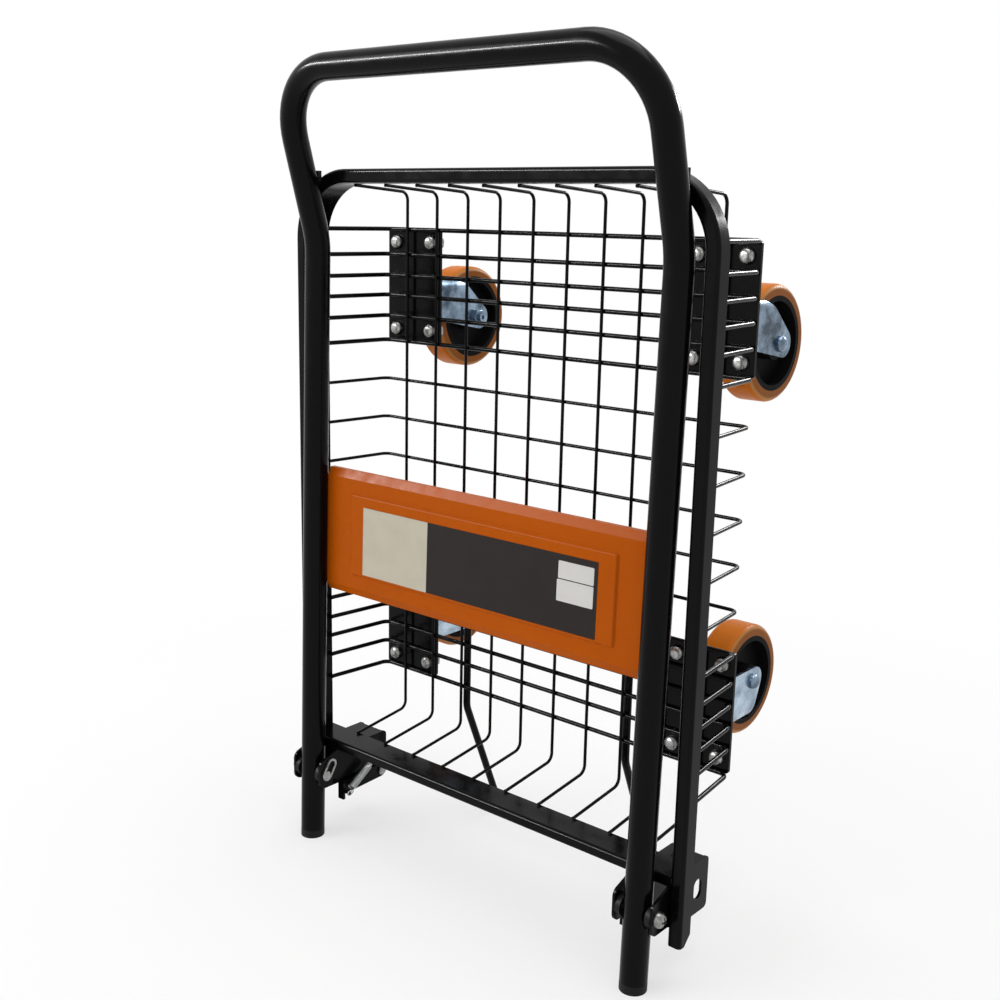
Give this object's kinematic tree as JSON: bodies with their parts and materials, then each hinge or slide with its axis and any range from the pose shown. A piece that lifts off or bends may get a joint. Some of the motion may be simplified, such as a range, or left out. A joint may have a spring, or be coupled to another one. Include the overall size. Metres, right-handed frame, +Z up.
{
  "type": "folding basket dolly",
  "caption": "Folding wire-basket dolly with a bent tube handle, a sheet panel, swivel and rigid casters, and a rod stand; the handle folds over the basket.",
  "frame": {"origin": "on the floor, under the middle of the folded dolly's bounding box", "axes": "+Z up, +X to the right of someone who faces the handle, +Y from the handle back to the wheels"},
  "size_m": [0.492, 0.2985, 0.8077],
  "materials": {
    "black_paint": "gloss",
    "orange_paint": "satin",
    "label_skin": "satin",
    "zinc_steel": "satin",
    "bolt_steel": "gloss",
    "spring_steel": "satin",
    "orange_tread": "satin",
    "black_hub": "matte",
    "black_rubber": "matte",
    "black_plastic": "satin"
  },
  "bodies": {
    "basket": {"rim_frame": "black_paint", "lower_rail": "black_paint", "rest_pads": "black_rubber", "long_wires": "black_paint", "cross_wires_thick": "black_paint", "cross_wires_thin": "black_paint", "rod_stand": "black_paint", "caster_plates": "black_paint", "plate_bolts": "bolt_steel", "plate_nuts": "bolt_steel", "rigid_forks": "zinc_steel", "rigid_axles": "zinc_steel", "rigid_axle_nuts": "zinc_steel", "swivel_bases": "zinc_steel", "swivel_races": "zinc_steel", "kingpins": "zinc_steel", "hinge_bracket_left": "black_paint", "hinge_bracket_right": "black_paint", "pivot_bolts": "bolt_steel", "pivot_keepers": "bolt_steel", "lever_pins": "bolt_steel", "spring_posts": "bolt_steel", "handle_stops": "black_rubber", "latch_spring_left": "spring_steel", "latch_spring_right": "spring_steel"},
    "handle": {"handle_tube": "black_paint", "handle_panel": "orange_paint", "panel_label": "label_skin", "foot_plugs": "black_plastic", "pivot_spacers": "black_plastic"},
    "swivel_left": {"swivel_fork_left": "zinc_steel", "swivel_axle_left": "zinc_steel", "swivel_axle_nut_left": "zinc_steel"},
    "swivel_right": {"swivel_fork_right": "zinc_steel", "swivel_axle_right": "zinc_steel", "swivel_axle_nut_right": "zinc_steel"},
    "wheel_upper_left": {"wheel_tread_upper_left": "orange_tread", "wheel_hub_upper_left": "black_hub", "wheel_sleeve_upper_left": "bolt_steel"},
    "wheel_upper_right": {"wheel_tread_upper_right": "orange_tread", "wheel_hub_upper_right": "black_hub", "wheel_sleeve_upper_right": "bolt_steel"},
    "wheel_lower_left": {"wheel_tread_lower_left": "orange_tread", "wheel_hub_lower_left": "black_hub", "wheel_sleeve_lower_left": "bolt_steel"},
    "wheel_lower_right": {"wheel_tread_lower_right": "orange_tread", "wheel_hub_lower_right": "black_hub", "wheel_sleeve_lower_right": "bolt_steel"},
    "latch_left": {"latch_lever_left": "black_paint"},
    "latch_right": {"latch_lever_right": "black_paint"}
  },
  "joints": [
    {"name": "handle_fold", "type": "hinge", "parent": "basket", "child": "handle", "pos_m": [0, -0.10635, 0.075], "axis": [1, 0, 0], "range_deg": [0, 90]},
    {"name": "swivel_left_turn", "type": "hinge", "parent": "basket", "child": "swivel_left", "pos_m": [-0.18495, 0.03095, 0.5905], "axis": [0, 1, 0], "continuous": true},
    {"name": "swivel_right_turn", "type": "hinge", "parent": "basket", "child": "swivel_right", "pos_m": [0.18495, 0.03095, 0.5905], "axis": [0, 1, 0], "continuous": true},
    {"name": "wheel_upper_left_spin", "type": "hinge", "parent": "swivel_left", "child": "wheel_upper_left", "pos_m": [-0.18495, 0.09525, 0.556], "axis": [1, 0, 0], "continuous": true},
    {"name": "wheel_upper_right_spin", "type": "hinge", "parent": "swivel_right", "child": "wheel_upper_right", "pos_m": [0.18495, 0.09525, 0.556], "axis": [1, 0, 0], "continuous": true},
    {"name": "wheel_lower_left_spin", "type": "hinge", "parent": "basket", "child": "wheel_lower_left", "pos_m": [-0.18495, 0.08645, 0.2325], "axis": [1, 0, 0], "continuous": true},
    {"name": "wheel_lower_right_spin", "type": "hinge", "parent": "basket", "child": "wheel_lower_right", "pos_m": [0.18495, 0.08645, 0.2325], "axis": [1, 0, 0], "continuous": true},
    {"name": "latch_left_press", "type": "hinge", "parent": "basket", "child": "latch_left", "pos_m": [-0.1902, -0.02735, 0.055], "axis": [1, 0, 0], "range_deg": [0, 20], "stiffness_Nm_per_rad": 0.15, "springref_deg": -20.05, "deforming": ["latch_spring_left"]},
    {"name": "latch_right_press", "type": "hinge", "parent": "basket", "child": "latch_right", "pos_m": [0.1902, -0.02735, 0.055], "axis": [1, 0, 0], "range_deg": [0, 20], "stiffness_Nm_per_rad": 0.15, "springref_deg": -20.05, "deforming": ["latch_spring_right"]}
  ]
}
